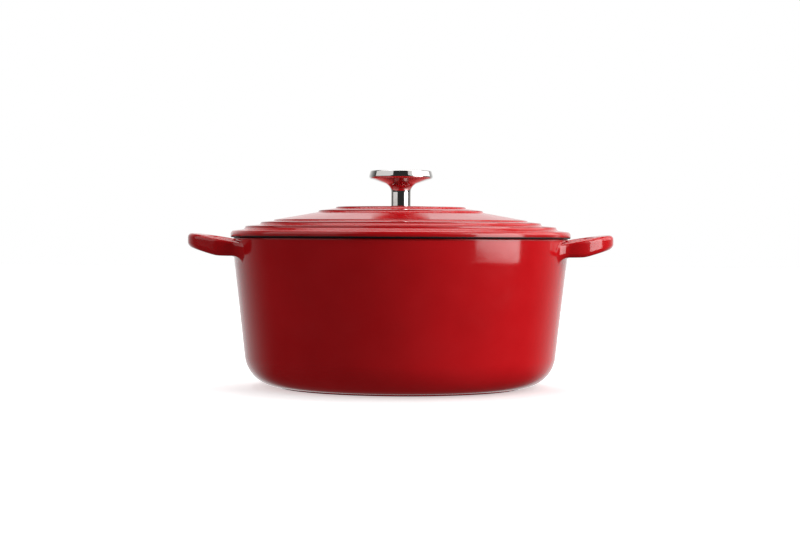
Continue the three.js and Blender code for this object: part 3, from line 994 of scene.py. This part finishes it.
def connect(tree, shader, colour, roughness, height, relief):
    """Gives a shader its colour, its roughness and its relief, whose depth is in metres."""
    bump = add(tree, "ShaderNodeBump", {"Height": height, "Strength": 1, "Distance": relief})
    tree.links.new(colour, shader.inputs["Base Color"])
    tree.links.new(roughness, shader.inputs["Roughness"])
    tree.links.new(bump.outputs["Normal"], shader.inputs["Normal"])


def enamel(name, seed):
    """Glossy red enamel that gives way to matte black on the rim, the inside and the foot."""
    material, tree, shader, place_from = blank_material(name)
    shift = add(tree, "ShaderNodeMapping", {"Vector": place_from, "Location": (seed, seed, 0)})
    spot = shift.outputs["Vector"]
    cloud = noise(tree, spot, CLOUD_SCALE, detail=3)
    grain = noise(tree, spot, FLECK_SCALE)
    red = blend_colour(tree, span(tree, cloud, *CLOUD_BAND, 0, 1), RED_DEEP, RED_BRIGHT)
    red = blend_colour(tree, span(tree, grain, *FLECK_BAND, 0, FLECK_SHARE), red, RED_FLECK)
    thin_here = span(tree, cloud, *COMMON_BAND, *THIN_SHARE)
    thin = arithmetic(tree, "MULTIPLY", stored(tree, "edge"), thin_here)
    red = blend_colour(tree, thin, red, RED_THIN)

    ragged = noise(tree, spot, RAGGED_SCALE, detail=3)
    wander = span(tree, ragged, *COMMON_BAND, -LINE_SOFTNESS, LINE_SOFTNESS)
    line = arithmetic(tree, "ADD", stored(tree, "black_mm"), wander)
    matte = span(tree, line, -LINE_SOFTNESS, LINE_SOFTNESS, 0, 1, smooth=True)
    speck = noise(tree, spot, SPECK_SCALE, detail=3, roughness=0.6)
    black = blend_colour(tree, span(tree, speck, *SPECK_BAND, 0, 1), BLACK_DEEP, BLACK_GREY)
    colour = blend_colour(tree, matte, red, black)
    gloss = span(tree, noise(tree, spot, GLOSS_SCALE), *COMMON_BAND, *GLOSS_ROUGHNESS)
    dull = span(tree, speck, *COMMON_BAND, *MATTE_ROUGHNESS)
    roughness = blend_value(tree, matte, gloss, dull)

    peel = arithmetic(tree, "MULTIPLY", noise(tree, spot, PEEL_SCALE), PEEL_HEIGHT)
    wave = arithmetic(tree, "MULTIPLY", noise(tree, spot, WAVE_SCALE), WAVE_HEIGHT)
    soft = arithmetic(tree, "ADD", peel, wave)
    rough = arithmetic(tree, "MULTIPLY", speck, MATTE_GRAIN_HEIGHT)
    connect(tree, shader, colour, roughness, blend_value(tree, matte, soft, rough), 1)
    shader.inputs["IOR"].default_value = ENAMEL_IOR
    return material


def polished_steel():
    material, tree, shader, place_from = blank_material("polished_steel")
    cloud = noise(tree, place_from, STEEL_CLOUD_SCALE, detail=3)
    colour = blend_colour(tree, span(tree, cloud, *COMMON_BAND, 0, 1), STEEL_WARM, STEEL_COOL)
    smear = noise(tree, place_from, SMEAR_SCALE, detail=4, roughness=0.6)
    roughness = span(tree, smear, *SMEAR_BAND, *STEEL_ROUGHNESS)
    squeezed = {"Vector": place_from, "Scale": (1, 1, STEEL_LINE_STRETCH)}
    spot = add(tree, "ShaderNodeMapping", squeezed).outputs["Vector"]
    lines = noise(tree, spot, STEEL_LINE_SCALE, detail=3)
    connect(tree, shader, colour, roughness, lines, STEEL_LINE_HEIGHT)
    shader.inputs["Metallic"].default_value = 1
    return material


def satin_steel():
    """Turned steel: fine rings about the screw's axis."""
    material, tree, shader, place_from = blank_material("satin_steel")
    rings = add(
        tree, "ShaderNodeTexWave",
        {"Vector": place_from, "Scale": RING_SCALE, "Distortion": RING_DISTORTION, "Detail": 2},
        wave_type="RINGS", rings_direction="Z",
    ).outputs["Fac"]
    cloud = noise(tree, place_from, SATIN_CLOUD_SCALE, detail=3)
    colour = blend_colour(tree, cloud, SATIN_DARK, SATIN_LIGHT)
    roughness = span(tree, rings, 0, 1, *SATIN_ROUGHNESS)
    connect(tree, shader, colour, roughness, rings, SATIN_LINE_HEIGHT)
    shader.inputs["Metallic"].default_value = 1
    return material


def gasket_rubber():
    material, tree, shader, place_from = blank_material("gasket_rubber")
    grain = noise(tree, place_from, RUBBER_SCALE, detail=3)
    colour = blend_colour(tree, grain, RUBBER_DEEP, RUBBER_GREY)
    roughness = span(tree, grain, *COMMON_BAND, *RUBBER_ROUGHNESS)
    connect(tree, shader, colour, roughness, grain, RUBBER_GRAIN_HEIGHT)
    return material


def floor_paint():
    """Matte white that glows, more strongly further away."""
    material, tree, shader, place_from = blank_material("floor_paint")
    cloud = noise(tree, place_from, FLOOR_SCALE, detail=3)
    colour = blend_colour(tree, cloud, FLOOR_PALE, FLOOR_BRIGHT)
    tree.links.new(colour, shader.inputs["Base Color"])
    shader.inputs["Roughness"].default_value = FLOOR_ROUGHNESS
    shader.inputs["Specular IOR Level"].default_value = FLOOR_SPECULAR
    shader.inputs["Emission Color"].default_value = WHITE
    far = add(tree, "ShaderNodeVectorMath", {0: place_from}, operation="LENGTH").outputs["Value"]
    glow = span(tree, far, *FLOOR_GLOW_REACH, FLOOR_GLOW_NEAR, FLOOR_GLOW_FAR, smooth=True)
    tree.links.new(glow, shader.inputs["Emission Strength"])
    return material


# Studio


def make_floor():
    mesh = bpy.data.meshes.new("floor")
    half = FLOOR_SIZE / 2
    marks = FLOOR_CELLS + 1
    grid = np.linspace(-half, half, marks)
    points = [(x, y, 0) for y in grid for x in grid]
    faces = []
    for row in range(FLOOR_CELLS):
        for column in range(FLOOR_CELLS):
            first = row * marks + column
            faces.append((first, first + 1, first + marks + 1, first + marks))
    mesh.from_pydata(points, [], faces)
    mesh.materials.append(floor_paint())
    floor = bpy.data.objects.new("floor", mesh)
    bpy.context.scene.collection.objects.link(floor)
    floor.visible_glossy = False
    floor.visible_diffuse = False
    return floor


def soft_box(name, azimuth, elevation, distance, size, power):
    """A rectangular light that faces the oven. Azimuth 0 is the camera's side, 90 the right."""
    light = bpy.data.lights.new(name, "AREA")
    light.shape = "RECTANGLE"
    light.size, light.size_y = size
    light.energy = power
    lamp = bpy.data.objects.new(name, light)
    around, up = math.radians(azimuth), math.radians(elevation)
    aim = Vector((0, 0, AIM_HEIGHT))
    flat = math.cos(up)
    away = Vector((math.sin(around) * flat, -math.cos(around) * flat, math.sin(up)))
    lamp.location = aim + away * distance
    lamp.rotation_euler = away.to_track_quat("Z", "Y").to_euler()
    lamp.visible_camera = False
    bpy.context.scene.collection.objects.link(lamp)
    return lamp


def spare_floor(floor, lamp):
    """Keeps a lamp's light off the floor, and with it the oven's long shadow."""
    unlit = bpy.data.collections.new("unlit_floor")
    unlit.objects.link(floor)
    unlit.collection_objects[0].light_linking.link_state = "EXCLUDE"
    lamp.light_linking.receiver_collection = unlit


def make_world():
    """White to the eye. As a light, it is bright behind the oven and dark on the camera's side."""
    world = bpy.data.worlds.new("studio")
    bpy.context.scene.world = world
    world.use_nodes = True
    tree = world.node_tree
    background = tree.nodes["Background"]
    direction = add(tree, "ShaderNodeTexCoord").outputs["Generated"]
    parts = add(tree, "ShaderNodeSeparateXYZ", {"Vector": direction})
    behind = span(tree, parts.outputs["Y"], *BACKDROP_FADE, 0, 1)
    behind = span(tree, arithmetic(tree, "MULTIPLY", behind, behind), 0, 1, FRONT_GLOW, BACKDROP_GLOW)
    level = span(tree, parts.outputs["Z"], *BELOW_FADE, BELOW_GLOW, 1, smooth=True)
    above = span(tree, parts.outputs["Z"], *ABOVE_FADE, 1, 0, smooth=True)
    glow = arithmetic(tree, "MULTIPLY", behind, arithmetic(tree, "MULTIPLY", level, above))
    glow = arithmetic(tree, "MAXIMUM", glow, CEILING_GLOW)
    path = add(tree, "ShaderNodeLightPath")
    bounce = span(tree, parts.outputs["Z"], *BOUNCE_FADE, FLOOR_BOUNCE, 0)
    bounce = arithmetic(tree, "MULTIPLY", bounce, path.outputs["Is Diffuse Ray"])
    glow = arithmetic(tree, "MAXIMUM", glow, bounce)
    strength = blend_value(tree, path.outputs["Is Camera Ray"], glow, 1)
    background.inputs["Color"].default_value = WHITE
    tree.links.new(strength, background.inputs["Strength"])


def make_camera():
    """Level with the rim, 1.5 m in front, through a long lens tipped down by under a degree."""
    data = bpy.data.cameras.new("camera")
    data.lens = CAMERA_LENS
    data.sensor_width = CAMERA_SENSOR
    camera = bpy.data.objects.new("camera", data)
    bpy.context.scene.collection.objects.link(camera)
    camera.location = (CAMERA_SIDE * MM, -CAMERA_DISTANCE * MM, CAMERA_HEIGHT * MM)
    tip = Matrix.Rotation(math.radians(90) - CAMERA_TIP, 4, "X")
    roll = Matrix.Rotation(CAMERA_ROLL, 4, "Z")
    camera.rotation_euler = (tip @ roll).to_euler()
    bpy.context.scene.camera = camera


make_camera()
floor = make_floor()
make_world()
lamps = {box[0]: soft_box(*box) for box in SOFT_BOXES}
spare_floor(floor, lamps["key_right"])
bpy.context.scene.view_settings.view_transform = "Standard"

make_pot(enamel("pot_enamel", 0))
make_lid(enamel("lid_enamel", LID_SEED))
polished = polished_steel()
satin = satin_steel()
make_knob_body(polished)
make_knob_cap(polished)
make_gasket(gasket_rubber())
make_insert(satin)
make_washer(satin)
make_spring_washer(satin)
make_screw(satin)
